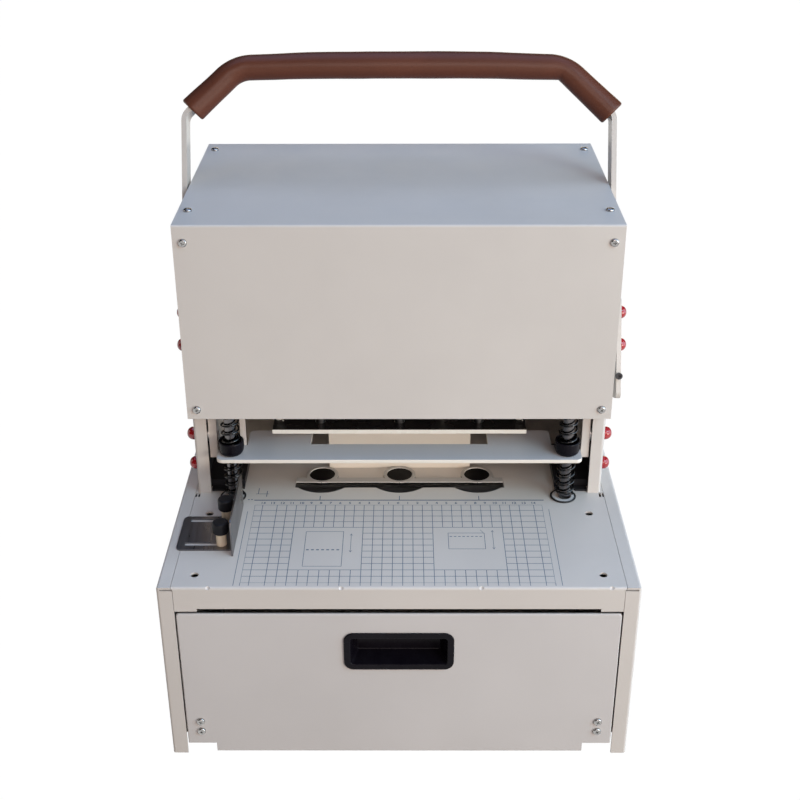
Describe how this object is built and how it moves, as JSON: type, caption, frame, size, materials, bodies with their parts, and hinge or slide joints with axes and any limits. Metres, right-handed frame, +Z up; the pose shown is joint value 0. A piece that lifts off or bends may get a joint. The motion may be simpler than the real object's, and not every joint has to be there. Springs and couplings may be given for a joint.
{
  "type": "document riveting machine",
  "caption": "Bench machine that punches and rivets paper stacks: hand lever, rack-driven punches, press plate, side stop and drawer in a sheet steel cabinet.",
  "frame": {"origin": "on the floor at the middle of the base cabinet", "axes": "+X to the operator's right, +Y to the back, +Z up"},
  "size_m": [0.4455, 0.4264, 0.6051],
  "materials": {
    "beige_paint": "satin, fine texture",
    "pale_plate": "satin",
    "lever_paint": "satin",
    "black_steel": "black oxide",
    "steel": "machined",
    "spring_steel": "drawn wire",
    "bright_steel": "brushed",
    "chrome": "polished",
    "screw_zinc": "zinc plated",
    "bronze": "machined",
    "nylon_black": "matt",
    "pull_black": "glossy",
    "dome_red": "glossy",
    "foam_brown": "matt foam",
    "rubber_black": "matt"
  },
  "bodies": {
    "frame": {"side_panel_right": "beige_paint", "side_panel_left": "beige_paint", "table_rails": "beige_paint", "frame_side_right": "beige_paint", "frame_side_left": "beige_paint", "bearing_plate_right": "beige_paint", "bearing_plate_left": "beige_paint", "foot_bracket_right": "black_steel", "foot_bracket_left": "black_steel", "table_plate": "beige_paint", "base_rear_panel": "beige_paint", "base_floor": "beige_paint", "anvil_beam": "steel", "pad_holder": "steel", "cutting_pads": "nylon_black", "pad_set_screws": "black_steel", "back_gauge": "beige_paint", "frame_spacers": "steel", "frame_domed_bolts": "dome_red", "tie_bar": "steel", "guide_rods": "chrome", "rod_nuts": "steel", "spring_seats": "steel", "loose_rings": "rubber_black", "lower_springs": "spring_steel", "head_cover": "beige_paint", "rear_cover": "beige_paint", "cover_screws": "screw_zinc", "shaft_bushes": "bronze", "clamp_sleeves": "beige_paint", "drawer_runners": "steel"},
    "lever": {"cross_shaft": "steel", "pinions": "steel", "lever_arms": "lever_paint", "foam_grip": "foam_brown", "lever_side_plate": "lever_paint", "arm_domed_bolts": "dome_red", "stop_screw": "black_steel"},
    "crosshead": {"crosshead": "steel", "rod_bushes": "bronze", "punches": "steel", "racks": "steel"},
    "guide_plate": {"guide_plate": "bright_steel", "guide_studs": "spring_steel", "guide_springs": "spring_steel"},
    "press_plate": {"press_plate": "pale_plate", "press_indicator": "beige_paint", "rod_knobs": "black_steel", "upper_springs": "spring_steel"},
    "paper_stop": {"paper_stop": "bright_steel"},
    "drawer": {"drawer_front": "beige_paint", "drawer_tray": "beige_paint", "drawer_pull": "pull_black", "drawer_screws": "screw_zinc", "drawer_slides": "steel"},
    "clamp_knob_front": {"clamp_knob_front": "black_steel"},
    "clamp_knob_rear": {"clamp_knob_rear": "black_steel"}
  },
  "joints": [
    {"name": "lever_hinge", "type": "hinge", "parent": "frame", "child": "lever", "pos_m": [0, 0, 0.357], "axis": [1, 0, 0], "range_deg": [0, 105.7], "stiffness_Nm_per_rad": 2, "springref_deg": -51.57},
    {"name": "crosshead_slide", "type": "slide", "parent": "frame", "child": "crosshead", "axis": [0, 0, -1], "range_m": [0, 0.06], "deforming": ["upper_springs", "guide_springs"]},
    {"name": "guide_plate_slide", "type": "slide", "parent": "frame", "child": "guide_plate", "axis": [0, 0, -1], "range_m": [0, 0.041]},
    {"name": "press_plate_slide", "type": "slide", "parent": "frame", "child": "press_plate", "axis": [0, 0, -1], "range_m": [0, 0.032], "deforming": ["lower_springs"]},
    {"name": "paper_stop_slide", "type": "slide", "parent": "frame", "child": "paper_stop", "axis": [1, 0, 0], "range_m": [0, 0.025]},
    {"name": "drawer_slide", "type": "slide", "parent": "frame", "child": "drawer", "axis": [0, -1, 0], "range_m": [0, 0.25]},
    {"name": "clamp_knob_front_turn", "type": "hinge", "parent": "frame", "child": "clamp_knob_front", "pos_m": [-0.1685, -0.1435, 0.215], "axis": [0, 0, 1], "range_deg": [0, 360]},
    {"name": "clamp_knob_rear_turn", "type": "hinge", "parent": "frame", "child": "clamp_knob_rear", "pos_m": [-0.1685, -0.1025, 0.215], "axis": [0, 0, 1], "range_deg": [0, 360]}
  ],
  "couplings": [
    {"joint": "crosshead_slide", "follows": "lever_hinge", "m_per_rad": 0.0325},
    {"joint": "guide_plate_slide", "follows": "lever_hinge", "m_per_rad": 0.022208},
    {"joint": "press_plate_slide", "follows": "lever_hinge", "m_per_rad": 0.017333}
  ]
}
